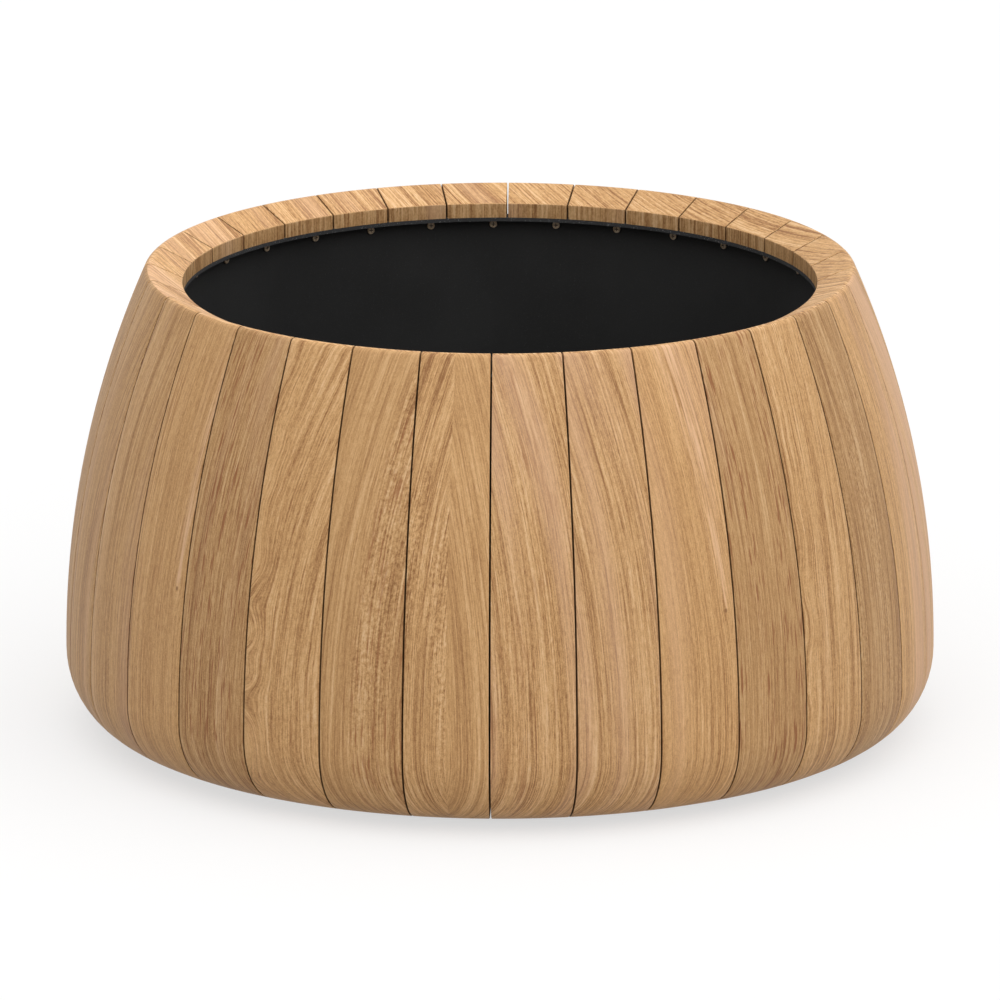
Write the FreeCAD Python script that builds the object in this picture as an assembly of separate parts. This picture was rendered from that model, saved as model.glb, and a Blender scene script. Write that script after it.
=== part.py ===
import FreeCAD
import Part

import math
import os

# A round teak planter: upright staves hung round a black sheet-metal liner on a levelled cross frame.
# Lengths are millimetres. +Z is up, the front is -Y, and the origin is on the floor under the middle.

# Staves
stave_count = 32
widest_radius = 550.0
widest_height = 90.0  # widest circle, above the stave feet
stave_height = 583.0  # outer corner of the rim, above the stave feet
side_curve_radius = 1209.0  # outer face, from the widest circle up to the rim
foot_turn_width = 75.0  # how far the outer face turns in below the widest circle
stave_thickness = 48.0
stave_gap = 2.2
rim_width = 50.0  # top face, cut square to the outer face
rim_outer_round = 8.0
rim_inner_round = 1.5
lip_height = 18.3  # upright inner face of the rim
land_height = 24.0  # upright face under the lip, behind the liner
inner_turn_width = 45.0  # how far the inner face turns in to the seat on the foot
foot_seat_width = 27.0  # level top of the foot, under the base ring
floor_clearance = 10.0  # stave feet above the floor
ellipse_pole_share = 0.5523  # Bezier handle that draws a quarter ellipse

# Liner, a welded pot of sheet metal with a flat flange under the stave lips
sheet_thickness = 3.0
flange_thickness = 5.0
flange_sectors = 8  # cut from sheet and welded edge to edge
liner_clearance = 0.3  # between the liner and the stave lands
weld_gap = 0.2  # between the liner floor and the liner wall
drain_count = 8
drain_radius = 7.5
drain_circle_share = 0.6  # of the liner's inner radius

# Liner screws, one per stave, driven from inside the liner
liner_screw_radius = 2.5
liner_screw_length = 40.0
liner_screw_tip = 6.0
liner_screw_drop = 12.2  # below the underside of the lip
liner_screw_edge = 18.5  # from the middle of the stave gap
liner_head_radius = 5.1
liner_head_height = 2.8
liner_head_round = 1.6
recess_width = 1.3
recess_length = 5.4
recess_depth = 1.5
screw_clearance = 0.05  # round a thread in its hole
hole_clearance = 0.3  # round a shank in a plain hole

# Base ring, on the stave feet and the frame
ring_width = 70.0
ring_thickness = 5.0
ring_edge_gap = 2.0  # between the ring and the turned stave faces

# Foot screws, from below through each stave foot into the base ring
foot_screw_radius = 3.0
foot_head_radius = 5.5
foot_head_height = 4.0
counterbore_depth = 7.0
counterbore_gap = 1.0

# Frame of square tubes
beam_width = 35.0
beam_wall = 3.0
beam_end_gap = 2.0  # between the frame and the stave feet
cap_thickness = 2.5
cap_depth = 8.0
cap_clearance = 0.2

# Bolts that hold the base ring on the beam ends
bolt_radius = 4.0
bolt_head_radius = 8.0
bolt_head_depth = 4.0
bolt_nut_height = 6.5
bolt_nut_flat = 13.0
bolt_tail = 1.5
bolt_edge = 14.0  # out from the inner edge of the base ring

# Rubber strips between the beams and the liner floor
strip_width = 25.0
strip_start = 40.0  # from the middle of the planter
strip_end_gap = 12.0  # short of the base ring

# Levelling feet, one under each end of the cross
foot_inset = 32.0  # in from the inner edge of the base ring
foot_pad_radius = 25.0
foot_pad_height = 11.0
foot_pad_edge = 4.0
foot_neck_radius = 13.0
foot_stop_gap = 0.3  # under the beam when the foot is screwed right in
foot_socket_depth = 6.5
foot_travel = 15.0
stud_radius = 6.0
stud_clearance = 0.08  # running clearance in the nut
stud_margin = 2.0  # thread left above the nut at full travel
stud_nut_flat = 18.0
stud_nut_height = 10.0

overrun = 5.0  # how far each cut runs past what it cuts

# The four ends of the cross, as degrees round from +X
sides = {"right": 0, "back": 90, "left": 180, "front": 270}

up = FreeCAD.Vector(0, 0, 1)
origin = FreeCAD.Vector(0, 0, 0)

# Heights above the floor
beam_z = foot_pad_height + foot_stop_gap
seat_z = beam_z + beam_width
ring_top_z = seat_z + ring_thickness
widest_z = floor_clearance + widest_height
rim_z = floor_clearance + stave_height

# The rim's top face lies on a line through the centre of the side curve
curve_centre_radius = widest_radius - side_curve_radius
inner_curve_radius = side_curve_radius - stave_thickness
rim_angle = math.asin((rim_z - widest_z) / side_curve_radius)
lip_reach = side_curve_radius - rim_width
lip_radius = curve_centre_radius + lip_reach * math.cos(rim_angle)
lip_top_z = widest_z + lip_reach * math.sin(rim_angle)
lip_z = lip_top_z - lip_height
land_z = lip_z - land_height
land_angle = math.asin((land_z - widest_z) / inner_curve_radius)
land_radius = curve_centre_radius + inner_curve_radius * math.cos(land_angle)

# Inner face and foot of a stave
inner_radius = widest_radius - stave_thickness
seat_radius = inner_radius - inner_turn_width
foot_end_radius = seat_radius - foot_seat_width
heel_radius = widest_radius - foot_turn_width
foot_screw_circle = (seat_radius + foot_end_radius) / 2

# Liner
liner_radius = land_radius - liner_clearance
liner_inner_radius = liner_radius - sheet_thickness
head_seat_radius = math.sqrt(liner_inner_radius ** 2 - liner_head_radius ** 2)
flange_z = lip_z - flange_thickness
liner_screw_z = lip_z - liner_screw_drop
half_pitch = math.pi / stave_count
liner_screw_angle = math.asin(liner_screw_edge / liner_radius) - half_pitch

# Base ring and frame
ring_radius = seat_radius - ring_edge_gap
ring_inner_radius = ring_radius - ring_width
beam_reach = math.sqrt((foot_end_radius - beam_end_gap) ** 2 - (beam_width / 2) ** 2)
tube_reach = beam_reach - cap_thickness
bolt_circle = ring_inner_radius + bolt_edge
foot_circle = ring_inner_radius - foot_inset
stud_nut_z = beam_z + beam_wall


def turn(shape, degrees):
    return shape.rotated(origin, up, degrees)


def stave_degrees(index):
    return -90 + (index + 1 / 2) * 360 / stave_count


def cylinder(radius, low, high, x=0):
    return Part.makeCylinder(radius, high - low, FreeCAD.Vector(x, 0, low))


def ring(outer, inner, low, high):
    return cylinder(outer, low, high).cut(cylinder(inner, low - overrun, high + overrun))


def box(x_low, x_high, width, low, high):
    corner = FreeCAD.Vector(x_low, -width / 2, low)
    return Part.makeBox(x_high - x_low, width, high - low, corner)


def hex_nut(flat, bore, low, high, x):
    corner_radius = flat / math.sqrt(3)
    angles = [math.radians(60 * step) for step in range(7)]
    points = [FreeCAD.Vector(x + corner_radius * math.cos(a), corner_radius * math.sin(a), low) for a in angles]
    prism = Part.Face(Part.makePolygon(points)).extrude(FreeCAD.Vector(0, 0, high - low))
    return prism.cut(cylinder(bore, low - overrun, high + overrun, x))


def turned(outline, degrees=360):
    points = [FreeCAD.Vector(radius, 0, height) for radius, height in outline]
    return Part.Face(Part.makePolygon(points + points[:1])).revolve(origin, up, degrees)


def along_x(shape, x, z):
    # Lays a piece modelled along +Z on its side, so that it points away from the middle
    flat = shape.rotated(origin, FreeCAD.Vector(0, 1, 0), 90)
    return flat.translated(FreeCAD.Vector(x, 0, z))


def point(radius, height):
    return FreeCAD.Vector(radius, 0, height)


def on_curve(radius, angle):
    # A point seen from the centre of the side curve
    return point(curve_centre_radius + radius * math.cos(angle), widest_z + radius * math.sin(angle))


def line(start, end):
    return Part.makeLine(start, end)


def arc(start, middle, end):
    return Part.Arc(start, middle, end).toShape()


def quarter_ellipse(start, corner, end):
    curve = Part.BezierCurve()
    handle_start = start + (corner - start) * ellipse_pole_share
    handle_end = end + (corner - end) * ellipse_pole_share
    curve.setPoles([start, handle_start, handle_end, end])
    return curve.toShape()


def rim_outer_arc():
    # Rounds the corner between the outer face and the square-cut top face
    reach = side_curve_radius - rim_outer_round
    step = math.asin(rim_outer_round / reach)
    centre = on_curve(reach, rim_angle - step)
    start = on_curve(side_curve_radius, rim_angle - step)
    end = on_curve(reach * math.cos(step), rim_angle)
    toward = (start - centre) + (end - centre)
    return start, centre + toward.normalize() * rim_outer_round, end


def rim_inner_arc():
    # Rounds the corner between the top face and the upright lip
    corner = point(lip_radius, lip_top_z)
    half_turn = (math.pi / 2 + rim_angle) / 2
    reach = rim_inner_round / math.tan(half_turn)
    start = on_curve(lip_reach + reach, rim_angle)
    end = point(lip_radius, lip_top_z - reach)
    toward = ((start - corner) + (end - corner)).normalize()
    depth = rim_inner_round / math.sin(half_turn) - rim_inner_round
    return start, corner + toward * depth, end


def stave_profile():
    heel = point(heel_radius, floor_clearance)
    widest = point(widest_radius, widest_z)
    outer_start, outer_middle, outer_end = rim_outer_arc()
    inner_start, inner_middle, inner_end = rim_inner_arc()
    lip = point(lip_radius, lip_z)
    land_top = point(land_radius, lip_z)
    land_low = point(land_radius, land_z)
    inner_widest = point(inner_radius, widest_z)
    seat = point(seat_radius, seat_z)
    seat_end = point(foot_end_radius, seat_z)
    foot_end = point(foot_end_radius, floor_clearance)
    edges = [
        line(foot_end, heel),
        quarter_ellipse(heel, point(widest_radius, floor_clearance), widest),
        arc(widest, on_curve(side_curve_radius, rim_angle / 2), outer_start),
        arc(outer_start, outer_middle, outer_end),
        line(outer_end, inner_start),
        arc(inner_start, inner_middle, inner_end),
        line(inner_end, lip),
        line(lip, land_top),
        line(land_top, land_low),
        arc(land_low, on_curve(inner_curve_radius, land_angle / 2), inner_widest),
        quarter_ellipse(inner_widest, point(inner_radius, seat_z), seat),
        line(seat, seat_end),
        line(seat_end, foot_end),
    ]
    return Part.Face(Part.Wire(edges))


def stave_wedge():
    # A slice of the plan whose sides stay half a gap inside the seam planes
    tip = stave_gap / 2 / math.sin(half_pitch)
    reach = (widest_radius + overrun) / math.cos(half_pitch)
    across = reach * math.sin(half_pitch)
    far = tip + reach * math.cos(half_pitch)
    corners = [FreeCAD.Vector(tip, 0, 0), FreeCAD.Vector(far, -across, 0), FreeCAD.Vector(far, across, 0)]
    return Part.Face(Part.makePolygon(corners + corners[:1])).extrude(FreeCAD.Vector(0, 0, rim_z + overrun))


def liner_screw_hole(radius):
    # A radial hole from inside the liner to the tip of a liner screw, on the stave that faces +X
    length = liner_screw_length + overrun - liner_screw_tip
    hole = along_x(cylinder(radius, -overrun, length - overrun), head_seat_radius, liner_screw_z)
    return turn(hole, math.degrees(liner_screw_angle))


def liner_screw_point_hole():
    tip_start = liner_screw_length - liner_screw_tip
    bore = liner_screw_radius + screw_clearance
    outline = [(0, tip_start), (bore, tip_start), (bore, tip_start + screw_clearance), (0, liner_screw_length)]
    hole = along_x(turned(outline), head_seat_radius, liner_screw_z)
    return turn(hole, math.degrees(liner_screw_angle))


def stave():
    shape = stave_profile()
    shape = shape.revolve(origin, up, math.degrees(2 * half_pitch))
    shape = turn(shape, -math.degrees(half_pitch)).common(stave_wedge())
    shape = shape.cut(liner_screw_hole(liner_screw_radius + screw_clearance))
    shape = shape.cut(liner_screw_point_hole())
    shank_hole = foot_screw_radius + hole_clearance
    head_hole = foot_head_radius + counterbore_gap
    shape = shape.cut(cylinder(shank_hole, 0, seat_z + overrun, foot_screw_circle))
    return shape.cut(cylinder(head_hole, 0, floor_clearance + counterbore_depth, foot_screw_circle))


def liner_wall(start_degrees):
    # Half of the wall, rolled from one sheet and welded to the other half at each side
    outline = [
        (liner_inner_radius, ring_top_z),
        (liner_radius, ring_top_z),
        (liner_radius, flange_z),
        (liner_inner_radius, flange_z),
    ]
    shape = turn(turned(outline, 180), start_degrees)
    hole = liner_screw_hole(liner_screw_radius + hole_clearance)
    return shape.cut([turn(hole, stave_degrees(index)) for index in range(stave_count)])


def liner_flange_sector():
    outline = [(lip_radius, flange_z), (liner_radius, flange_z), (liner_radius, lip_z), (lip_radius, lip_z)]
    return turned(outline, 360 / flange_sectors)


def liner_floor():
    shape = cylinder(liner_inner_radius - weld_gap, ring_top_z, ring_top_z + sheet_thickness)
    drain_circle = liner_inner_radius * drain_circle_share
    drain = cylinder(drain_radius, 0, ring_top_z + sheet_thickness + overrun, drain_circle)
    step = 360 / drain_count
    return shape.cut([turn(drain, (index + 1 / 2) * step) for index in range(drain_count)])


def liner_screw():
    # Pan head with a cross recess inside the liner, shank out through the wall into the stave
    head = cylinder(liner_head_radius, -liner_head_height, 0)
    head = head.makeFillet(liner_head_round, [e for e in head.Edges if e.BoundBox.ZMax < 0])
    recess_z = recess_depth - liner_head_height
    slot = box(-recess_length / 2, recess_length / 2, recess_width, -liner_head_height - overrun, recess_z)
    head = head.cut([slot, turn(slot, 90)])
    tip_start = liner_screw_length - liner_screw_tip
    outline = [(0, 0), (liner_screw_radius, 0), (liner_screw_radius, tip_start), (0, liner_screw_length)]
    shape = along_x(head.fuse(turned(outline)).removeSplitter(), head_seat_radius, liner_screw_z)
    return turn(shape, math.degrees(liner_screw_angle))


def foot_screw():
    head_z = floor_clearance + counterbore_depth
    head = cylinder(foot_head_radius, head_z - foot_head_height, head_z, foot_screw_circle)
    head = head.makeChamfer(foot_head_height / 4, [e for e in head.Edges if e.BoundBox.ZMax < head_z])
    slot_x = [foot_screw_circle - recess_length / 2, foot_screw_circle + recess_length / 2]
    slot = box(slot_x[0], slot_x[1], recess_width, 0, head_z - foot_head_height + recess_depth)
    cross = slot.rotated(FreeCAD.Vector(foot_screw_circle, 0, 0), up, 90)
    shank = cylinder(foot_screw_radius, head_z, ring_top_z, foot_screw_circle)
    return head.cut([slot, cross]).fuse(shank).removeSplitter()


def base_ring():
    shape = ring(ring_radius, ring_inner_radius, seat_z, ring_top_z)
    low, high = seat_z - overrun, ring_top_z + overrun
    foot_hole = cylinder(foot_screw_radius + screw_clearance, low, high, foot_screw_circle)
    holes = [turn(foot_hole, stave_degrees(index)) for index in range(stave_count)]
    bolt_hole = frame_bolt_form(hole_clearance)
    return shape.cut(holes + [turn(bolt_hole, degrees) for degrees in sides.values()])


def frame_bolt_form(clearance):
    # Countersunk bolt, flush with the top of the base ring
    shank = bolt_radius + clearance
    head = bolt_head_radius + clearance
    low = beam_z - bolt_nut_height - bolt_tail
    neck_z = ring_top_z - bolt_head_depth
    outline = [(0, low), (shank, low), (shank, neck_z), (head, ring_top_z), (0, ring_top_z)]
    return turned(outline).translated(FreeCAD.Vector(bolt_circle, 0, 0))


def frame_nut():
    return hex_nut(bolt_nut_flat, bolt_radius + screw_clearance, beam_z - bolt_nut_height, beam_z, bolt_circle)


def tube(x_low, x_high):
    inner = beam_width - 2 * beam_wall
    bore = box(x_low - overrun, x_high + overrun, inner, beam_z + beam_wall, seat_z - beam_wall)
    return box(x_low, x_high, beam_width, beam_z, seat_z).cut(bore)


def beam_end_holes():
    bolt_hole = cylinder(bolt_radius + hole_clearance, 0, ring_top_z, bolt_circle)
    stud_hole = cylinder(stud_radius + hole_clearance, 0, stud_nut_z + stud_nut_height, foot_circle)
    return [bolt_hole, stud_hole]


def cross_beam():
    holes = beam_end_holes()
    return tube(-tube_reach, tube_reach).cut(holes + [turn(hole, 180) for hole in holes])


def half_beam(degrees):
    return turn(tube(beam_width / 2, tube_reach).cut(beam_end_holes()), degrees)


def beam_end_cap():
    inner = beam_width - 2 * (beam_wall + cap_clearance)
    inset = beam_wall + cap_clearance
    plug = box(tube_reach - cap_depth, tube_reach, inner, beam_z + inset, seat_z - inset)
    return box(tube_reach, beam_reach, beam_width, beam_z, seat_z).fuse(plug).removeSplitter()


def rubber_strip():
    return box(strip_start, ring_inner_radius - strip_end_gap, strip_width, seat_z, ring_top_z)


def foot_pad():
    socket = stud_radius + screw_clearance
    socket_z = foot_pad_height - foot_socket_depth
    outline = [
        (0, 0),
        (foot_pad_radius, 0),
        (foot_pad_radius, foot_pad_edge),
        (foot_neck_radius, foot_pad_height),
        (socket, foot_pad_height),
        (socket, socket_z),
        (0, socket_z),
    ]
    return turned(outline).translated(FreeCAD.Vector(foot_circle, 0, 0))


def foot_stud():
    top = stud_nut_z + stud_nut_height + foot_travel + stud_margin
    return cylinder(stud_radius, foot_pad_height - foot_socket_depth, top, foot_circle)


def stud_nut():
    top = stud_nut_z + stud_nut_height
    return hex_nut(stud_nut_flat, stud_radius + stud_clearance, stud_nut_z, top, foot_circle)


def save(name, shape):
    shape.exportStep(os.path.join("parts", name + ".step"))
    print(name, len(shape.Solids), shape.isValid(), round(shape.Volume))


def save_group(name, shape, angles):
    save(name, Part.makeCompound([turn(shape, degrees) for degrees in angles]))


def main():
    os.makedirs("parts", exist_ok=True)
    stave_angles = [stave_degrees(index) for index in range(stave_count)]
    one_stave = stave()
    for number, degrees in enumerate(stave_angles, start=1):
        save(f"stave_{number:02d}", turn(one_stave, degrees))
    save("liner_wall_back", liner_wall(sides["right"]))
    save("liner_wall_front", liner_wall(sides["left"]))
    save_group("liner_flange", liner_flange_sector(), [i * 360 / flange_sectors for i in range(flange_sectors)])
    save("liner_floor", liner_floor())
    save_group("liner_screws", liner_screw(), stave_angles)
    save("base_ring", base_ring())
    save_group("foot_screws", foot_screw(), stave_angles)
    save("cross_beam", cross_beam())
    save("half_beam_front", half_beam(sides["front"]))
    save("half_beam_back", half_beam(sides["back"]))
    save_group("beam_end_caps", beam_end_cap(), sides.values())
    save_group("frame_bolts", frame_bolt_form(0), sides.values())
    save_group("frame_nuts", frame_nut(), sides.values())
    save_group("stud_nuts", stud_nut(), sides.values())
    for side, degrees in sides.items():
        save("rubber_strip_" + side, turn(rubber_strip(), degrees))
        save("foot_pad_" + side, turn(foot_pad(), degrees))
        save("foot_stud_" + side, turn(foot_stud(), degrees))
    print("rim", round(rim_z, 2), "lip", round(lip_radius, 2), round(lip_top_z, 2), round(lip_z, 2))
    print("land", round(land_radius, 2), round(land_z, 2), "liner", round(liner_radius, 2))
    print("screws", round(liner_screw_z, 2), "seat", round(seat_radius, 2), round(seat_z, 2))
    print("ring", round(ring_radius, 2), round(ring_inner_radius, 2), round(ring_top_z, 2))
    print("bolts", round(bolt_circle, 2), "feet", round(foot_circle, 2), "beam", round(beam_reach, 2), round(beam_z, 2))


main()
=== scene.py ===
import math
import random

import bmesh
import bpy
from mathutils import Matrix, Vector


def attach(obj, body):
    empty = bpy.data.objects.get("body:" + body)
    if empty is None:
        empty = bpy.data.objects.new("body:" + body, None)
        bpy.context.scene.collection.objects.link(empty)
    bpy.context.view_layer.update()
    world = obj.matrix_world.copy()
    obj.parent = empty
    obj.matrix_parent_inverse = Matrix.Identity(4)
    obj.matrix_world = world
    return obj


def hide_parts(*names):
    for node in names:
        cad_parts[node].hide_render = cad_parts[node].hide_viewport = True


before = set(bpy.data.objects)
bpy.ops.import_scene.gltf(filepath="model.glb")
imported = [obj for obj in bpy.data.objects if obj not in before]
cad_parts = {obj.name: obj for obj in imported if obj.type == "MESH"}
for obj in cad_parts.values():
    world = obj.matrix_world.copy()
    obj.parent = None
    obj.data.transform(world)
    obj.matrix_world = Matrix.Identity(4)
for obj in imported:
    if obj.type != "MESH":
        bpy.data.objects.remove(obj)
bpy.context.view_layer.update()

print("frame loaded,", len(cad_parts), "nodes")


def tint(red, green, blue):
    # a colour picked on screen, 0 to 255, as the linear values that nodes take
    def straight(part):
        part /= 255
        return part / 12.92 if part <= 0.04045 else ((part + 0.055) / 1.055) ** 2.4
    return (straight(red), straight(green), straight(blue), 1)


def even(size):
    return (size, size, size)


# Helpers for the finishes

def put(tree, kind, inputs=None, **settings):
    made = tree.nodes.new(kind)
    for name, value in settings.items():
        setattr(made, name, value)
    for socket, value in (inputs or {}).items():
        if isinstance(value, bpy.types.NodeSocket):
            tree.links.new(value, made.inputs[socket])
        else:
            made.inputs[socket].default_value = value
    return made


def reckon(tree, how, first, second=0.0, clamp=False):
    inputs = {0: first, 1: second}
    return put(tree, "ShaderNodeMath", inputs, operation=how, use_clamp=clamp).outputs[0]


def times(tree, first, *others):
    for other in others:
        first = reckon(tree, "MULTIPLY", first, other)
    return first


def plus(tree, first, *others):
    for other in others:
        first = reckon(tree, "ADD", first, other)
    return first


def objectPlace(tree):
    return put(tree, "ShaderNodeTexCoord").outputs["Object"]


def stretchNoise(tree, place, pattern):
    stretch, detail, rough = pattern
    scaled = put(tree, "ShaderNodeVectorMath", {0: place, 1: stretch}, operation="MULTIPLY").outputs[0]
    inputs = {"Vector": scaled, "Scale": 1.0, "Detail": detail, "Roughness": rough}
    return put(tree, "ShaderNodeTexNoise", inputs).outputs["Fac"]


def swing(tree, noise, amount):
    # noise about its middle, as plus or minus
    return times(tree, reckon(tree, "SUBTRACT", noise, 0.5), amount)


def ease(tree, value, edge):
    # 0 at the first end of the edge, 1 at the second
    inputs = {"Value": value, "From Min": edge[0], "From Max": edge[1]}
    return put(tree, "ShaderNodeMapRange", inputs, interpolation_type="SMOOTHSTEP").outputs[0]


def blendColours(tree, amount, first, second):
    return put(tree, "ShaderNodeMix", {0: amount, 6: first, 7: second}, data_type="RGBA").outputs[2]


def ramp(tree, value, stops):
    made = put(tree, "ShaderNodeValToRGB", {"Fac": value})
    band = made.color_ramp
    while len(band.elements) < len(stops):
        band.elements.new(0.5)
    for element, (place, colour) in zip(band.elements, stops):
        element.position = place
        element.color = colour
    return made.outputs["Color"]


def bump(tree, height, relief):
    inputs = {"Height": height, "Strength": relief[0], "Distance": relief[1]}
    return put(tree, "ShaderNodeBump", inputs).outputs[0]


def newFinish(name):
    finish = bpy.data.materials.new(name)
    finish.use_nodes = True
    finish.node_tree.nodes.clear()
    return finish, finish.node_tree


def coat(tree, inputs):
    skin = put(tree, "ShaderNodeBsdfPrincipled", inputs)
    put(tree, "ShaderNodeOutputMaterial", {"Surface": skin.outputs[0]})


def asMesh(bm, name):
    mesh = bpy.data.meshes.new(name)
    bm.to_mesh(mesh)
    bm.free()
    return mesh


def addObject(name, data):
    made = bpy.data.objects.new(name, data)
    bpy.context.scene.collection.objects.link(made)
    return made


# Teak

# a noise is its stretch across, along and into the board, then its detail and roughness
teakLook = {
    "dark": tint(150, 104, 62), "brown": tint(184, 138, 90), "honey": tint(206, 160, 107),
    "sand": tint(222, 177, 125), "pale": tint(234, 194, 147), "rose": tint(226, 182, 148),
    "blond": tint(236, 193, 156), "rust": tint(156, 98, 58), "knot": tint(122, 80, 48),
    "stops": (("dark", 0.18), ("brown", 0.36), ("honey", 0.52), ("sand", 0.66), ("pale", 0.84)),
    "middle": 0.5,
    # how the lines stray from straight, in metres
    "wander": ((4.0, 1.2, 3.0), 2.0, 0.5), "wanderBy": 0.016,
    "ripple": ((20.0, 6.0, 6.0), 2.0, 0.5), "rippleBy": 0.0026,
    "swell": ((9.0, 11.0, 6.0), 1.0, 0.5), "billowBy": 0.085,
    "bulgeEdge": (0.44, 0.58), "bulgeQuiet": 0.8, "bulgeLight": 0.10,
    # the lines themselves, and how strongly each noise shows
    "bands": ((34.0, 0.6, 3.0), 2.0, 0.5), "bandsBy": 0.42,
    "streaks": ((250.0, 1.6, 6.0), 3.0, 0.72), "streaksBy": 1.05,
    "fibres": ((620.0, 9.0, 14.0), 2.0, 0.65), "fibresBy": 1.05,
    "pores": ((850.0, 110.0, 60.0), 1.0, 0.5), "poresBy": 0.55,
    "grit": ((900.0, 520.0, 300.0), 1.0, 0.6), "gritBy": 0.40,
    "flecks": ((330.0, 190.0, 30.0), 2.0, 0.6), "flecksBy": 0.95,
    "patches": ((22.0, 3.2, 6.0), 1.0, 0.5), "patchEdge": (0.42, 0.60),
    "calm": ((17.0, 0.5, 4.0), 1.0, 0.5), "calmEdge": (0.40, 0.56), "calmQuiet": 0.45,
    # colour laid over the lines
    "blush": ((26.0, 0.6, 7.0), 1.0, 0.5), "blushBy": 1.6, "blushEdge": (0.2, 0.9), "roseShare": 0.55,
    "poreEdge": (0.60, 0.74), "poreRing": (0.60, 0.42), "poreDark": 0.40,
    "ringEdge": (0.37, 0.27), "ringDark": 0.55,
    "dashes": ((400.0, 20.0, 20.0), 2.0, 0.6), "dashEdge": (0.53, 0.66), "dashDark": 0.85,
    "dashZones": ((24.0, 2.0, 6.0), 1.0, 0.5), "dashZoneEdge": (0.36, 0.54),
    # pin knots, in metres: the parted lines, the core and the blond bundle above
    "knotReach": (0.009, 0.028), "knotPush": -0.6,
    "coreSize": (0.0028, 0.0036), "coreEdge": (1.0, 0.1), "coreDark": 0.7,
    "bundleWide": 0.004, "bundleSpread": 0.045, "bundleStart": (-0.004, 0.016),
    "bundleLines": (0.38, 0.66), "bundleShare": 0.7,
    # the surface
    "rough": 0.56, "roughBy": 0.22, "gleam": 0.28,
    "fibreHigh": 0.5, "poreDeep": 0.5, "relief": (0.22, 0.0006),
}


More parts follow.
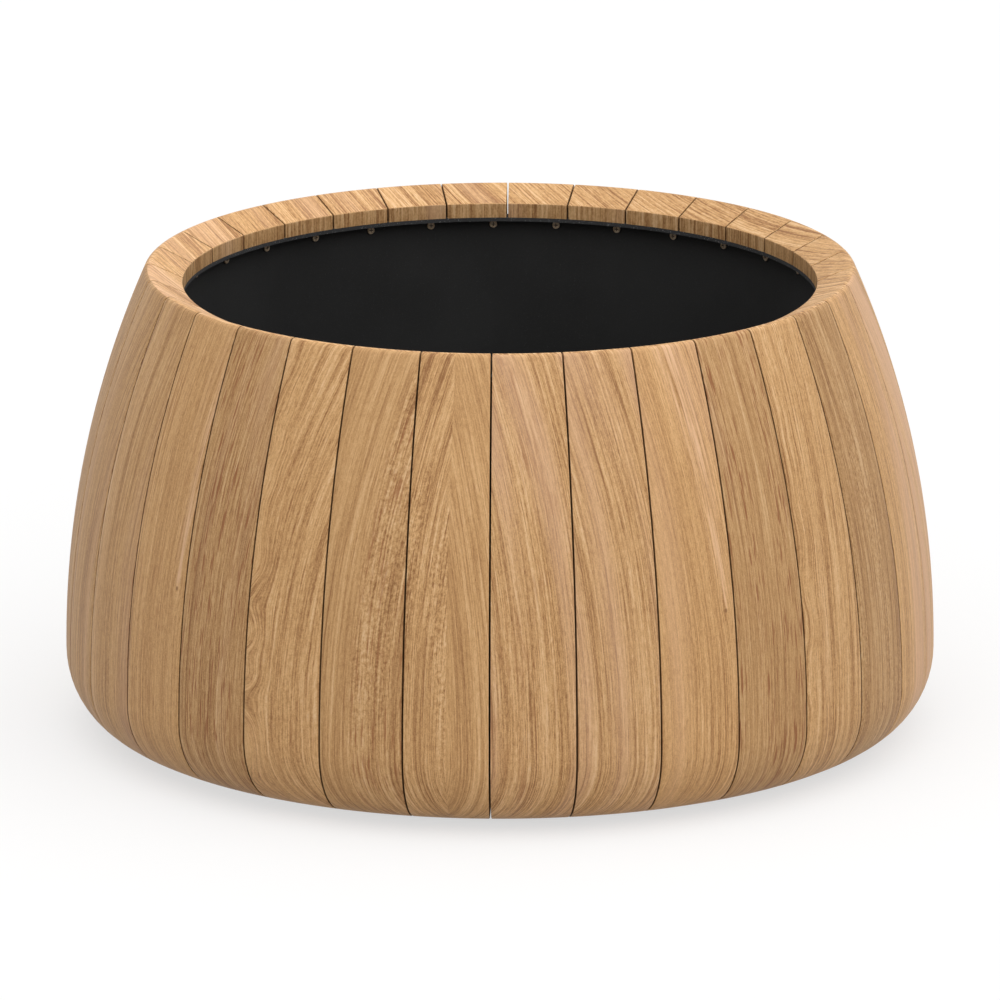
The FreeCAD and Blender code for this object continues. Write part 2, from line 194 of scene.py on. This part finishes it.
def teakFinish(look):
    finish, tree = newFinish("teak")

    def attribute(name):
        return put(tree, "ShaderNodeAttribute", attribute_name=name).outputs

    def threeOf(vector):
        return put(tree, "ShaderNodeSeparateXYZ", {0: vector}).outputs[:3]

    def noise(name, place):
        return stretchNoise(tree, place, look[name])

    grain = attribute("grain")["Vector"]
    board = attribute("board")
    # tone is the board's own tone times painted light on the rim and painted shade on the lip and the gap
    # walls
    tone, blush, curl = put(tree, "ShaderNodeSeparateColor", {"Color": board["Color"]}).outputs[:3]
    bold = board["Alpha"]
    dash, calm, wave = threeOf(attribute("figure")["Vector"])
    knotAcross, knotAlong, knotSize = threeOf(attribute("knot")["Vector"])

    def offSquared(value, reach):
        return reckon(tree, "POWER", reckon(tree, "DIVIDE", value, reach), 2.0)

    def offKnot(size):
        return plus(tree, offSquared(knotAcross, size[0]), offSquared(knotAlong, size[1]))

    def bell(squared):
        return reckon(tree, "EXPONENT", times(tree, squared, -1.0))

    # the lines wander along the board, part round a pin knot and billow at a wavy edge
    wander = swing(tree, noise("wander", grain), look["wanderBy"])
    ripple = swing(tree, noise("ripple", grain), look["rippleBy"])
    push = times(tree, bell(offKnot(look["knotReach"])), knotSize, knotAcross, look["knotPush"])
    swell = noise("swell", grain)
    billow = times(tree, swing(tree, swell, look["billowBy"]), wave)
    bulge = times(tree, ease(tree, swell, look["bulgeEdge"]), wave)
    shift = plus(tree, wander, ripple, plus(tree, push, billow))
    sideStep = put(tree, "ShaderNodeCombineXYZ", {0: shift}).outputs[0]
    line = put(tree, "ShaderNodeVectorMath", {0: grain, 1: sideStep}, operation="ADD").outputs[0]

    streaks = noise("streaks", line)
    fibres = noise("fibres", line)
    pores = noise("pores", line)

    # calm zones and bulges keep their fine texture but lose most of their lines
    calmZones = ease(tree, noise("calm", line), look["calmEdge"])
    quiet = times(tree, calmZones, calm, look["calmQuiet"])
    quiet = reckon(tree, "MAXIMUM", quiet, times(tree, bulge, look["bulgeQuiet"]))
    lively = reckon(tree, "SUBTRACT", 1.0, quiet)
    lines = plus(tree, swing(tree, noise("bands", line), look["bandsBy"]),
                 swing(tree, streaks, look["streaksBy"]), swing(tree, fibres, look["fibresBy"]))
    figured = times(tree, ease(tree, noise("patches", line), look["patchEdge"]), curl)
    value = plus(tree, times(tree, lines, lively),
                 swing(tree, pores, look["poresBy"]),
                 swing(tree, noise("grit", line), look["gritBy"]),
                 times(tree, swing(tree, noise("flecks", line), look["flecksBy"]), figured),
                 times(tree, bulge, look["bulgeLight"]))
    value = plus(tree, times(tree, value, bold), look["middle"])

    golden = ramp(tree, value, [(place, look[shade]) for shade, place in look["stops"]])
    rosy = blendColours(tree, look["roseShare"], golden, look["rose"])
    redness = plus(tree, blush, swing(tree, noise("blush", line), look["blushBy"]))
    colour = blendColours(tree, ease(tree, redness, look["blushEdge"]), golden, rosy)

    poreMask = times(tree, ease(tree, pores, look["poreEdge"]), ease(tree, streaks, look["poreRing"]))
    colour = blendColours(tree, times(tree, poreMask, look["poreDark"]), colour, look["dark"])
    rings = times(tree, ease(tree, streaks, look["ringEdge"]), times(tree, lively, look["ringDark"]))
    colour = blendColours(tree, rings, colour, look["dark"])
    dashes = times(tree, ease(tree, noise("dashes", line), look["dashEdge"]),
                   ease(tree, noise("dashZones", line), look["dashZoneEdge"]),
                   times(tree, dash, look["dashDark"]))
    colour = blendColours(tree, dashes, colour, look["rust"])

    # a bundle of blond lines runs up the board from each pin knot
    opening = reckon(tree, "MULTIPLY", knotAlong, look["bundleSpread"], clamp=True)
    bundleWide = plus(tree, opening, look["bundleWide"])
    bundle = times(tree, bell(offSquared(knotAcross, bundleWide)),
                   ease(tree, knotAlong, look["bundleStart"]), knotSize,
                   ease(tree, fibres, look["bundleLines"]), look["bundleShare"])
    colour = blendColours(tree, bundle, colour, look["blond"])
    core = times(tree, ease(tree, offKnot(look["coreSize"]), look["coreEdge"]), knotSize, look["coreDark"])
    colour = blendColours(tree, core, colour, look["knot"])
    colour = put(tree, "ShaderNodeHueSaturation", {"Color": colour, "Value": tone}).outputs[0]

    rough = plus(tree, look["rough"], swing(tree, fibres, look["roughBy"]))
    height = reckon(tree, "SUBTRACT", times(tree, fibres, look["fibreHigh"]),
                    times(tree, poreMask, look["poreDeep"]))
    coat(tree, {"Base Color": colour, "Roughness": rough, "Specular IOR Level": look["gleam"],
                "Normal": bump(tree, height, look["relief"])})
    return finish


# Powder coat: a matt, fine orange-peel skin with sparse brighter specks

powderSkin = {
    "cloud": (even(7.0), 3.0, 0.55), "cloudEdge": (0.3, 0.7),
    "peel": (even(420.0), 2.0, 0.5), "roughBy": 0.16, "relief": (0.25, 0.0004),
    "speck": (even(820.0), 0.0, 0.5), "speckEdge": (0.70, 0.80),
}
linerLook = {"deep": tint(39, 39, 39), "worn": tint(45, 45, 45), "speck": tint(74, 74, 75),
             "sparkle": 0.25, "rough": 0.66, "gleam": 0.22}
# the flange's look is a lighter copy of the liner's black powder coat: painted light on the flange's edge
flangePaintedLightLook = {"deep": tint(50, 50, 51), "worn": tint(60, 60, 61), "speck": tint(150, 150, 150),
              "sparkle": 0.8, "rough": 0.6, "gleam": 0.3}
frameLook = {"deep": tint(38, 38, 40), "worn": tint(48, 48, 49), "speck": tint(110, 110, 112),
             "sparkle": 0.3, "rough": 0.55, "gleam": 0.35}


def powderFinish(name, look, skin):
    finish, tree = newFinish(name)
    place = objectPlace(tree)
    cloud = stretchNoise(tree, place, skin["cloud"])
    peel = stretchNoise(tree, place, skin["peel"])
    specks = ease(tree, stretchNoise(tree, place, skin["speck"]), skin["speckEdge"])
    colour = blendColours(tree, ease(tree, cloud, skin["cloudEdge"]), look["deep"], look["worn"])
    colour = blendColours(tree, times(tree, specks, look["sparkle"]), colour, look["speck"])
    rough = plus(tree, look["rough"], swing(tree, peel, skin["roughBy"]))
    coat(tree, {"Base Color": colour, "Roughness": rough, "Specular IOR Level": look["gleam"],
                "Normal": bump(tree, peel, skin["relief"])})
    return finish


# Bare and plated metal

metalSkin = {
    "blotch": (even(90.0), 3.0, 0.6), "blotchEdge": (0.32, 0.68),
    "scuff": ((900.0, 900.0, 260.0), 2.0, 0.6), "roughBy": 0.3, "relief": (0.15, 0.0002),
}
footScrewLook = {"dull": tint(118, 100, 84), "bright": tint(168, 150, 130), "metal": 0.75, "rough": 0.42}
zincLook = {"dull": tint(150, 152, 154), "bright": tint(196, 197, 196), "metal": 1.0, "rough": 0.36}


def metalFinish(name, look, skin):
    finish, tree = newFinish(name)
    place = objectPlace(tree)
    blotch = stretchNoise(tree, place, skin["blotch"])
    scuff = stretchNoise(tree, place, skin["scuff"])
    colour = blendColours(tree, ease(tree, blotch, skin["blotchEdge"]), look["dull"], look["bright"])
    rough = plus(tree, look["rough"], swing(tree, scuff, skin["roughBy"]))
    coat(tree, {"Base Color": colour, "Metallic": look["metal"], "Roughness": rough,
                "Normal": bump(tree, scuff, skin["relief"])})
    return finish


# Liner screws: blotchy pale colour on the crown of the pan head, with painted shade in the cross and round
# the edge

screwLook = {
    "dull": tint(198, 174, 145), "bright": tint(232, 209, 180), "paintedRecessShade": tint(90, 77, 64),
    "blotch": (even(300.0), 3.0, 0.6), "blotchEdge": (0.32, 0.68),
    "paintedShadeFrom": (0.4135, 0.4145),  # metres from the planter's middle
    "metal": 0.05, "rough": 0.45, "roughBy": 0.3,
}


def screwFinish(name, look):
    finish, tree = newFinish(name)
    place = objectPlace(tree)
    x, y = put(tree, "ShaderNodeSeparateXYZ", {0: place}).outputs[:2]
    flat = put(tree, "ShaderNodeCombineXYZ", {0: x, 1: y}).outputs[0]
    reach = put(tree, "ShaderNodeVectorMath", {0: flat}, operation="LENGTH").outputs["Value"]
    blotch = stretchNoise(tree, place, look["blotch"])
    crown = blendColours(tree, ease(tree, blotch, look["blotchEdge"]), look["dull"], look["bright"])
    # painted shade: past paintedShadeFrom from the planter's middle, in the cross recess and round the
    # head's edge, the colour goes dark
    colour = blendColours(tree, ease(tree, reach, look["paintedShadeFrom"]), crown, look["paintedRecessShade"])
    rough = plus(tree, look["rough"], swing(tree, blotch, look["roughBy"]))
    coat(tree, {"Base Color": colour, "Metallic": look["metal"], "Roughness": rough})
    return finish


# Moulded plastic and rubber

mouldedSkin = {
    "stipple": (even(700.0), 2.0, 0.6), "roughBy": 0.2, "relief": (0.3, 0.0003),
    "bloom": (even(35.0), 2.0, 0.5), "bloomEdge": (0.35, 0.7), "gleam": 0.35,
}
plasticLook = {"deep": tint(30, 30, 31), "dusty": tint(44, 44, 45), "rough": 0.5}
rubberLook = {"deep": tint(26, 26, 27), "dusty": tint(46, 45, 44), "rough": 0.8}


def mouldedFinish(name, look, skin):
    finish, tree = newFinish(name)
    place = objectPlace(tree)
    stipple = stretchNoise(tree, place, skin["stipple"])
    bloom = stretchNoise(tree, place, skin["bloom"])
    colour = blendColours(tree, ease(tree, bloom, skin["bloomEdge"]), look["deep"], look["dusty"])
    rough = plus(tree, look["rough"], swing(tree, stipple, skin["roughBy"]))
    coat(tree, {"Base Color": colour, "Roughness": rough, "Specular IOR Level": skin["gleam"],
                "Normal": bump(tree, stipple, skin["relief"])})
    return finish


teak = teakFinish(teakLook)
finishes = {
    "liner_black": powderFinish("linerBlack", linerLook, powderSkin),
    "frame_black": powderFinish("frameBlack", frameLook, powderSkin),
    "flange_painted_light": powderFinish("flangeBlackPaintedLight", flangePaintedLightLook, powderSkin),
    "liner_screw": screwFinish("linerScrew", screwLook),
    "foot_screw": metalFinish("footScrew", footScrewLook, metalSkin),
    "zinc_steel": metalFinish("zincSteel", zincLook, metalSkin),
    "black_plastic": mouldedFinish("blackPlastic", plasticLook, mouldedSkin),
    "rubber": mouldedFinish("rubber", rubberLook, mouldedSkin),
}
print("finishes mixed")


# Staves

staveCut = {
    "count": 32, "widest": 0.550, "widestUp": 0.090, "height": 0.583, "offFloor": 0.010,
    "sideCurve": 1.209, "footTurn": 0.075, "thick": 0.048, "gap": 0.0022,
    "rim": 0.050, "rimRound": 0.008, "lipRound": 0.0015, "lip": 0.0183, "land": 0.024,
    "innerTurn": 0.045, "seat": 0.027, "seatUp": 0.0363, "arris": 0.0007,
    "sideSteps": 36, "turnSteps": 14, "roundSteps": 6, "lipSteps": 3, "innerSteps": 16,
    "seatSteps": 8, "arrisSteps": 2, "slices": 12,
    "cutClose": 1e-6, "flatFacing": 0.999, "sharpFrom": 32,
}


def spun(bm, geom, centre, axis, angle, steps):
    return bmesh.ops.spin(bm, geom=geom, cent=centre, axis=axis, dvec=(0, 0, 0), angle=angle,
                          space=Matrix(), steps=steps, use_merge=False, use_normal_flip=False,
                          use_duplicate=False)


def sweepPoint(bm, start, centre, degrees, steps):
    made = spun(bm, [start], (centre[0], 0, centre[1]), (0, -1, 0), math.radians(degrees), steps)
    return [part for part in made["geom_last"] if isinstance(part, bmesh.types.BMVert)][0]


def runPoint(bm, start, x, z):
    end = bm.verts.new((x, 0, z))
    bm.edges.new((start, end))
    return end


def flattenTurn(bm, before, height, share):
    # draws a round turn out into the oval of the real one
    fresh = [vert for vert in bm.verts if vert not in before]
    bmesh.ops.scale(bm, vec=(1, 1, share), space=Matrix.Translation((0, 0, -height)), verts=fresh)


def drawStave(bm, cut):
    wideZ = cut["offFloor"] + cut["widestUp"]
    centre = (cut["widest"] - cut["sideCurve"], wideZ)
    lean = math.asin((cut["height"] - cut["widestUp"]) / cut["sideCurve"])
    heel = cut["widest"] - cut["footTurn"]

    def fromCentre(reach, angle):
        return centre[0] + reach * math.cos(angle), centre[1] + reach * math.sin(angle)

    # foot
    first = bm.verts.new((heel, 0, cut["offFloor"]))
    point = sweepPoint(bm, first, (heel, cut["offFloor"] + cut["footTurn"]), 90, cut["turnSteps"])
    flattenTurn(bm, {first}, cut["offFloor"], cut["widestUp"] / cut["footTurn"])

    # outer face and the round into the rim
    reach = cut["sideCurve"] - cut["rimRound"]
    step = math.asin(cut["rimRound"] / reach)
    turnAt = fromCentre(reach, lean - step)
    point = sweepPoint(bm, point, centre, math.degrees(lean - step), cut["sideSteps"])
    point = sweepPoint(bm, point, turnAt, 90 + math.degrees(step), cut["roundSteps"])

    # rim and the round into the lip
    lipReach = cut["sideCurve"] - cut["rim"]
    back = cut["lipRound"] / math.tan((math.pi / 2 + lean) / 2)
    lipX, lipTop = fromCentre(lipReach, lean)
    x, z = fromCentre(lipReach + back, lean)
    turnAt = (x + cut["lipRound"] * math.sin(lean), z - cut["lipRound"] * math.cos(lean))
    point = runPoint(bm, point, x, z)
    point = sweepPoint(bm, point, turnAt, 90 - math.degrees(lean), cut["lipSteps"])

    # lip, landing for the liner screw and inner face
    lipZ = lipTop - cut["lip"]
    landZ = lipZ - cut["land"]
    innerReach = cut["sideCurve"] - cut["thick"]
    landLean = math.asin((landZ - wideZ) / innerReach)
    landX = fromCentre(innerReach, landLean)[0]
    point = runPoint(bm, point, lipX, lipZ)
    point = runPoint(bm, point, landX, lipZ)
    point = runPoint(bm, point, landX, landZ)
    point = sweepPoint(bm, point, centre, -math.degrees(landLean), cut["innerSteps"])

    # seat on the base ring
    seatX = cut["widest"] - cut["thick"] - cut["innerTurn"]
    seatZ = cut["offFloor"] + cut["seatUp"]
    before = set(bm.verts)
    point = sweepPoint(bm, point, (seatX, wideZ), -90, cut["seatSteps"])
    flattenTurn(bm, before, wideZ, (wideZ - seatZ) / cut["innerTurn"])
    point = runPoint(bm, point, seatX - cut["seat"], seatZ)
    point = runPoint(bm, point, seatX - cut["seat"], cut["offFloor"])
    bm.edges.new((point, first))


def staveShape(cut):
    # one stave facing +X: the outline spun through its slice of the ring, then trimmed for the gaps
    bm = bmesh.new()
    half = math.pi / cut["count"]

    def everything():
        return bm.verts[:] + bm.edges[:] + bm.faces[:]

    drawStave(bm, cut)
    bmesh.ops.contextual_create(bm, geom=bm.edges[:])
    bmesh.ops.rotate(bm, cent=(0, 0, 0), matrix=Matrix.Rotation(-half, 3, "Z"), verts=bm.verts[:])
    spun(bm, everything(), (0, 0, 0), (0, 0, 1), 2 * half, cut["slices"])
    sides = [Vector((-math.sin(half), side * math.cos(half), 0)) for side in (-1, 1)]
    for outward in sides:
        made = bmesh.ops.bisect_plane(bm, geom=everything(), dist=cut["cutClose"],
                                      plane_co=-outward * cut["gap"] / 2, plane_no=outward,
                                      clear_outer=True, clear_inner=False)
        cutLine = [part for part in made["geom_cut"] if isinstance(part, bmesh.types.BMEdge)]
        bmesh.ops.contextual_create(bm, geom=cutLine)
    bmesh.ops.recalc_face_normals(bm, faces=bm.faces[:])
    flats = [face for face in bm.faces
             if max(face.normal.dot(outward) for outward in sides) > cut["flatFacing"]]
    corners = dict.fromkeys(edge for face in flats for edge in face.edges)  # each once, in a fixed order
    bmesh.ops.bevel(bm, geom=list(corners), offset=cut["arris"], offset_type="OFFSET",
                    segments=cut["arrisSteps"], profile=0.5, affect="EDGES", clamp_overlap=False,
                    material=-1)
    bmesh.ops.recalc_face_normals(bm, faces=bm.faces[:])
    return bm


# how each board was sawn: boards count rightwards from the front, slant is how steeply the rings
# cross the face, and the boards that are not chosen for are drawn by lot
boardPlan = {
    "seed": 700, "logSize": (3, 6, 2),
    "chosen": {
        "slant": {1: 0.70, 3: 0.45, 4: 0.15, 5: -0.10, 6: 0.10, 7: 0.10,
                  27: 0.30, 28: 0.25, 29: 0.35, 30: 0.80, 32: 0.74},
        "tone": {1: 1.01, 2: 1.00, 3: 1.06, 4: 0.88, 5: 0.995, 6: 0.83, 7: 1.02, 8: 1.02,
                 25: 0.80, 26: 0.83, 27: 0.86, 28: 0.95, 29: 0.84, 30: 1.00, 31: 0.94, 32: 1.00},
        "blush": {1: 0.45, 2: 0.45, 3: 0.30, 5: 0.05, 6: 0.0, 7: 0.45, 8: 0.60, 31: 0.05, 32: 0.0},
        "curl": {1: 0.25, 6: 0.80, 30: 0.30, 31: 1.0, 32: 1.0},
        "dash": {4: 1.0, 6: 0.3, 29: 1.0, 31: 0.75},
        "calm": {3: 1.0, 6: 0.6, 7: 0.6, 28: 1.0, 31: 0.8, 32: 0.4},
        "bold": {1: 1.08, 3: 0.86, 4: 0.78, 28: 0.92, 30: 0.90, 31: 0.92},
        "spread": {1: 0.90, 2: 0.86, 5: 0.80, 30: 0.60, 31: 0.72, 32: 0.84},
        "wave": {5: -0.8, 12: 0.7, 17: -0.8, 23: 0.7, 30: -1.0},
    },
    "drawn": {"slant": (0.496, 0.682), "tone": (0.95, 1.04), "blush": (0, 0.3), "curl": (0, 0.35),
              "dash": (0, 0.4), "calm": (0, 0.8)},
    "usual": {"bold": 1, "spread": 1, "wave": 0},
    "knots": {3: (0.040, 0.270), 12: (-0.03, 0.40), 20: (0.02, 0.20), 28: (0.038, 0.270)},
    "noKnot": (1, 1, 0), "bookmatched": 32,
    "plainPast": {31: 0.016}, "plainEdge": 0.014, "plainBold": 0.74, "plainCurl": 0.1,
    # painted light: rimPaintedLight raises the rim's tone overall, and rimPaintedSideLight raises it further
    # towards -x
    "rimFacing": 0.9, "rimDeep": 0.035, "rimHeading": math.radians(36), "rimSpread": (0.75, 0.4),
    "rimPaintedLight": 1.06, "rimPaintedSideLight": 0.09, "rimBold": 1.32, "rimBlush": (0.1, -0.6),
    # painted shade: lipPaintedShade darkens the lip's tone
    "lipFacing": -0.7, "lipDeep": 0.02, "lipSpread": 0.6, "lipPaintedShade": 0.85, "lipBold": 1.2,
    # painted shade: gapPaintedShade darkens the gap walls between staves, less so near the rim
    "gapFacing": 0.99, "gapPaintedShade": (0.3, 0.55),
}


def sawBoard(number, plan):
    dice = random.Random(plan["seed"] + number)
    saw = {}
    for half in ("start", "otherHalf"):
        saw[half] = Vector([dice.uniform(0, size) for size in plan["logSize"]])
    for what, (low, high) in plan["drawn"].items():
        saw[what] = plan["chosen"][what].get(number, dice.uniform(low, high))
    for what, usual in plan["usual"].items():
        saw[what] = plan["chosen"][what].get(number, usual)
    return saw


def findKnot(pinKnot, onLeft, slant, cut):
    # the ring that a pin knot on the outer face sits on
    side, up = pinKnot
    rise = up - cut["offFloor"] - cut["widestUp"]
    radius = cut["widest"] - cut["sideCurve"] + math.sqrt(cut["sideCurve"] ** 2 - rise ** 2)
    depth = cut["widest"] - math.sqrt(radius ** 2 - side ** 2)
    return (-side if onLeft else side) + slant * depth


def markGrain(bm, number, turned, cut, plan):
    saw = sawBoard(number, plan)
    grain = bm.loops.layers.float_vector.new("grain")
    knot = bm.loops.layers.float_vector.new("knot")
    figure = bm.loops.layers.float_vector.new("figure")
    board = bm.loops.layers.float_color.new("board")
    matched = number == plan["bookmatched"]
    onLeft = number > cut["count"] / 2
    pinKnot = plan["knots"].get(number)
    knotRing = findKnot(pinKnot, onLeft, saw["slant"], cut) if pinKnot else 0
    plainPast = plan["plainPast"].get(number)
    halfWide = cut["widest"] * math.sin(math.pi / cut["count"])
    lowRim = cut["offFloor"] + cut["height"] - plan["rimDeep"]
    headX, headY = math.cos(plan["rimHeading"]), math.sin(plan["rimHeading"])
    for face in bm.faces:
        middle = face.calc_center_median()
        onRim = face.normal.z > plan["rimFacing"] and middle.z > lowRim
        onLip = face.normal.x < plan["lipFacing"] and middle.z > lowRim - plan["lipDeep"]
        inGap = abs(face.normal.y) > plan["gapFacing"]
        rightHalf = matched and middle.y > 0
        for loop in face.loops:
            place = loop.vert.co
            depth = cut["widest"] - place.x
            across = -place.y if onLeft else place.y
            if matched:
                across = abs(place.y)
            ring = across + saw["slant"] * depth
            shade, redness, bold = saw["tone"], saw["blush"], saw["bold"]
            fromKnot = plan["noKnot"]
            plain = 0
            if onRim:
                flat = turned @ place
                wide, tall = plan["rimSpread"]
                lie = Vector(((flat.x * headX + flat.y * headY) * wide,
                              (flat.x * headY - flat.y * headX) * tall, 0))
                # painted light: the rim's tone is raised overall and raised further towards -x
                shade = plan["rimPaintedLight"] - plan["rimPaintedSideLight"] * flat.x / cut["widest"]
                redness = plan["rimBlush"][0] + plan["rimBlush"][1] * flat.x / cut["widest"]
                bold = plan["rimBold"]
            elif onLip:
                lie = Vector((across, place.z, depth)) * plan["lipSpread"]
                # painted shade: the lip's tone is darkened
                shade *= plan["lipPaintedShade"]
                bold = plan["lipBold"]
            else:
                lie = Vector((ring * saw["spread"], place.z, depth))
                if rightHalf:
                    plain = 1
                elif plainPast:
                    plain = min(1, max(0, 0.5 + (ring - plainPast) / plan["plainEdge"]))
                if pinKnot:
                    fromKnot = (ring - knotRing, place.z - pinKnot[1], 1)
            # painted shade: the gap walls between staves are darkened, less so near the rim
            if inGap:
                low, high = plan["gapPaintedShade"]
                shade *= low + (high - low) * max(0, (place.z - lowRim) / plan["rimDeep"])
            curl = saw["curl"] * (1 - plain + plan["plainCurl"] * plain)
            bold *= 1 - plain + plan["plainBold"] * plain
            edge = max(0, place.y / halfWide * saw["wave"])
            loop[grain] = saw["otherHalf" if rightHalf else "start"] + lie
            loop[knot] = fromKnot
            loop[figure] = (saw["dash"] * (1 - plain), saw["calm"], edge * edge)
            # shade holds the board's tone with the painted light on the rim and the painted shade on the lip
            # and gap walls
            loop[board] = (shade, redness, curl, bold)


def makeStaves(cut, plan):
    pattern = staveShape(cut)
    for number in range(1, cut["count"] + 1):
        degrees = -90 + (number - 0.5) * 360 / cut["count"]
        turned = Matrix.Rotation(math.radians(degrees), 3, "Z")
        bm = pattern.copy()
        markGrain(bm, number, turned, cut, plan)
        bmesh.ops.rotate(bm, cent=(0, 0, 0), matrix=turned, verts=bm.verts[:])
        mesh = asMesh(bm, f"teakStave{number:02d}")
        mesh.materials.append(teak)
        mesh.shade_smooth()
        mesh.set_sharp_from_angle(angle=math.radians(cut["sharpFrom"]))
        stave = addObject(f"teakStave{number:02d}", mesh)
        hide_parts(f"stave_{number:02d}")
        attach(stave, "planter")
    pattern.free()
    print("staves cut:", cut["count"])


makeStaves(staveCut, boardPlan)


# Metal, plastic and rubber pieces keep their CAD shapes

nodeFinish = {
    "liner_wall_back": "liner_black", "liner_wall_front": "liner_black", "liner_flange": "flange_painted_light",
    "liner_floor": "liner_black", "liner_screws": "liner_screw", "foot_screws": "foot_screw",
    "base_ring": "frame_black", "cross_beam": "frame_black", "half_beam_front": "frame_black",
    "half_beam_back": "frame_black", "beam_end_caps": "black_plastic", "frame_bolts": "zinc_steel",
    "frame_nuts": "zinc_steel", "stud_nuts": "zinc_steel",
}
for side in ("right", "back", "left", "front"):
    nodeFinish["rubber_strip_" + side] = "rubber"
    nodeFinish["foot_pad_" + side] = "black_plastic"
    nodeFinish["foot_stud_" + side] = "zinc_steel"
for nodeName, finishName in nodeFinish.items():
    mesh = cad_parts[nodeName].data
    mesh.materials.clear()
    mesh.materials.append(finishes[finishName])
print("metalwork finished")


# Floor, light and camera

stageSet = {
    "white": (1, 1, 1, 1), "floorSeen": (0.92, 0.92, 0.92, 1), "floorBounce": (0.55, 0.55, 0.55, 1),
    "floorRadius": 40.0, "floorSides": 128, "floorDrop": 0.0006,
    # the glow whitens the floor evenly and fades out under the planter between the two paintedShadeReach
    # radii: a painted shade there
    "floorGlow": 0.65, "paintedShadeReach": (0.34, 0.47),
    "dome": 0.36, "sun": 2.5, "sunSpread": 100, "sunLean": (14, 10), "sunUp": 6,
}


def seenByEye(tree):
    # 1 for what the camera sees, also in metal and glass, and 0 for the light on the planter
    ray = put(tree, "ShaderNodeLightPath").outputs
    seen = reckon(tree, "MAXIMUM", ray["Is Camera Ray"], ray["Is Transmission Ray"])
    return reckon(tree, "MAXIMUM", seen, ray["Is Glossy Ray"])


def makeFloor(plan):
    bm = bmesh.new()
    bmesh.ops.create_circle(bm, cap_ends=True, segments=plan["floorSides"], radius=plan["floorRadius"])
    bmesh.ops.translate(bm, vec=(0, 0, -plan["floorDrop"]), verts=bm.verts[:])
    mesh = asMesh(bm, "floor")
    # to the eye the floor is white paper: an even glow mixed over a diffuse grey that keeps the real soft
    # shadow; the glow fades out under the planter by distance from the middle, so the floor is darker there,
    # a painted shade on top of the real shadow; to the light it is a plain grey
    finish, tree = newFinish("floorWhite")
    grey = put(tree, "ShaderNodeBsdfDiffuse", {"Color": plan["floorBounce"]})
    shaded = put(tree, "ShaderNodeBsdfDiffuse", {"Color": plan["floorSeen"]})
    glow = put(tree, "ShaderNodeEmission", {"Color": plan["white"], "Strength": 1.0})
    reach = put(tree, "ShaderNodeVectorMath", {0: objectPlace(tree)}, operation="LENGTH").outputs["Value"]
    clear = times(tree, ease(tree, reach, plan["paintedShadeReach"]), plan["floorGlow"])
    paper = put(tree, "ShaderNodeMixShader", {0: clear, 1: shaded.outputs[0], 2: glow.outputs[0]})
    both = put(tree, "ShaderNodeMixShader", {0: seenByEye(tree), 1: grey.outputs[0], 2: paper.outputs[0]})
    put(tree, "ShaderNodeOutputMaterial", {"Surface": both.outputs[0]})
    mesh.materials.append(finish)
    floor = addObject("floor", mesh)


def makeLight(plan):
    world = bpy.data.worlds.new("studio")
    bpy.context.scene.world = world
    world.use_nodes = True
    tree = world.node_tree
    tree.nodes.clear()
    dome = put(tree, "ShaderNodeBackground", {"Color": plan["white"], "Strength": plan["dome"]})
    backdrop = put(tree, "ShaderNodeBackground", {"Color": plan["white"], "Strength": 1.0})
    both = put(tree, "ShaderNodeMixShader", {0: seenByEye(tree), 1: dome.outputs[0], 2: backdrop.outputs[0]})
    put(tree, "ShaderNodeOutputWorld", {"Surface": both.outputs[0]})

    lamp = bpy.data.lights.new("overhead", "SUN")
    lamp.energy = plan["sun"]
    lamp.angle = math.radians(plan["sunSpread"])
    overhead = addObject("overhead", lamp)
    tilt, sideways = plan["sunLean"]
    overhead.rotation_euler = (math.radians(tilt), math.radians(sideways), 0)
    overhead.location = (0, 0, plan["sunUp"])


cameraSet = {"lens": 423.7, "sensor": 36, "farthest": 200,
             "reach": 14.3655, "height": 4.201, "azimuth": 1.342, "pitch": 15.2485}


def makeCamera(plan):
    eye = bpy.data.cameras.new("camera")
    eye.sensor_width = plan["sensor"]
    eye.lens = plan["lens"]
    eye.clip_end = plan["farthest"]
    camera = addObject("camera", eye)
    swung = math.radians(plan["azimuth"])
    camera.location = (plan["reach"] * math.sin(swung), -plan["reach"] * math.cos(swung), plan["height"])
    camera.rotation_euler = (math.radians(90 - plan["pitch"]), 0, swung)
    bpy.context.scene.camera = camera


makeFloor(stageSet)
makeLight(stageSet)
makeCamera(cameraSet)
bpy.context.scene.view_settings.view_transform = "Standard"
print("stage lit")
